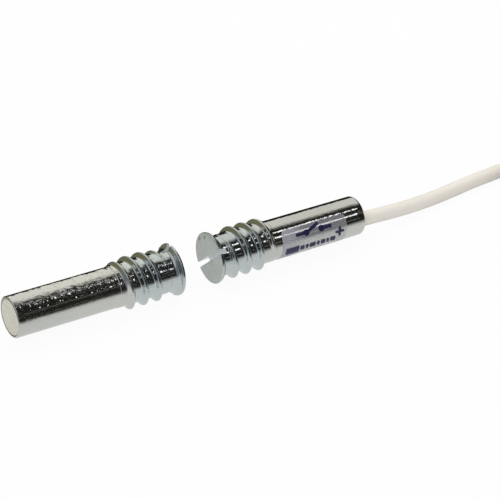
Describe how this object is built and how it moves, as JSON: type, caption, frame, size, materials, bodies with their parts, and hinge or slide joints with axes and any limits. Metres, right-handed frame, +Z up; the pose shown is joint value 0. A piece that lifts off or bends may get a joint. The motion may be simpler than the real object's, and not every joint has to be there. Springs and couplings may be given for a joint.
{
  "type": "recessed magnetic contact",
  "caption": "Recessed door and window contact: a reed switch and a magnet, each in a slotted, flanged, threaded metal shell, with the contact's round cable in a tied hank.",
  "frame": {"origin": "on the surface that both units lie on, under the middle of the pair measured without its cable", "axes": "+X along both units' common axis, from the magnet to the contact and its cable; +Z up"},
  "size_m": [0.1923, 0.029, 0.0239],
  "materials": {
    "zinc": "bright plated die-casting, slightly matt on the cast faces",
    "glass": "green-tinted reed switch glass",
    "sleeve": "matt black sleeving",
    "reed": "nickel-iron, satin",
    "solder": "tin solder, satin",
    "white_core": "smooth wire insulation",
    "brown_core": "smooth wire insulation",
    "green_core": "smooth wire insulation",
    "yellow_core": "smooth wire insulation",
    "resin": "pale potting resin",
    "film": "thin clear glossy film",
    "sheath": "warm white sheath, soft satin",
    "tie": "natural nylon",
    "copper": "tinned copper strand",
    "magnet": "cast bar magnet, dull",
    "plug": "cream resin"
  },
  "bodies": {
    "contact": {"contact_housing": "zinc", "reed_glass": "glass", "reed_sleeve": "sleeve", "solder_front": "solder", "solder_rear": "solder", "wire_white": "white_core", "wire_brown": "brown_core", "wire_green": "green_core", "wire_yellow": "yellow_core", "loop_splice": "solder", "potting_plug": "resin", "label_film": "film", "cable_run": "sheath", "cable_hank": "sheath", "cable_tail": "sheath", "hank_tie_near": "tie", "hank_tie_far": "tie", "tail_white": "white_core", "tail_brown": "brown_core", "tail_green": "green_core", "tail_yellow": "yellow_core", "tip_white": "copper", "tip_brown": "copper", "tip_green": "copper", "tip_yellow": "copper"},
    "reed_front": {"reed_blade_front": "reed"},
    "reed_rear": {"reed_blade_rear": "reed"},
    "magnet": {"magnet_housing": "zinc", "bar_magnet": "magnet", "magnet_plug": "plug"}
  },
  "joints": [
    {"name": "magnet_travel", "type": "slide", "parent": "contact", "child": "magnet", "axis": [-1, 0, 0], "range_m": [-0.0077, 0.0238]},
    {"name": "reed_front_flex", "type": "hinge", "parent": "contact", "child": "reed_front", "pos_m": [0.0115, 0, 0.00605], "axis": [0, -1, 0], "range_deg": [0, 0.8], "stiffness_Nm_per_rad": 0.0006},
    {"name": "reed_rear_flex", "type": "hinge", "parent": "contact", "child": "reed_rear", "pos_m": [0.0243, 0, 0.00605], "axis": [0, -1, 0], "range_deg": [0, 0.8], "stiffness_Nm_per_rad": 0.0006}
  ],
  "couplings": [
    {"joint": "reed_rear_flex", "follows": "reed_front_flex", "ratio": 1}
  ]
}
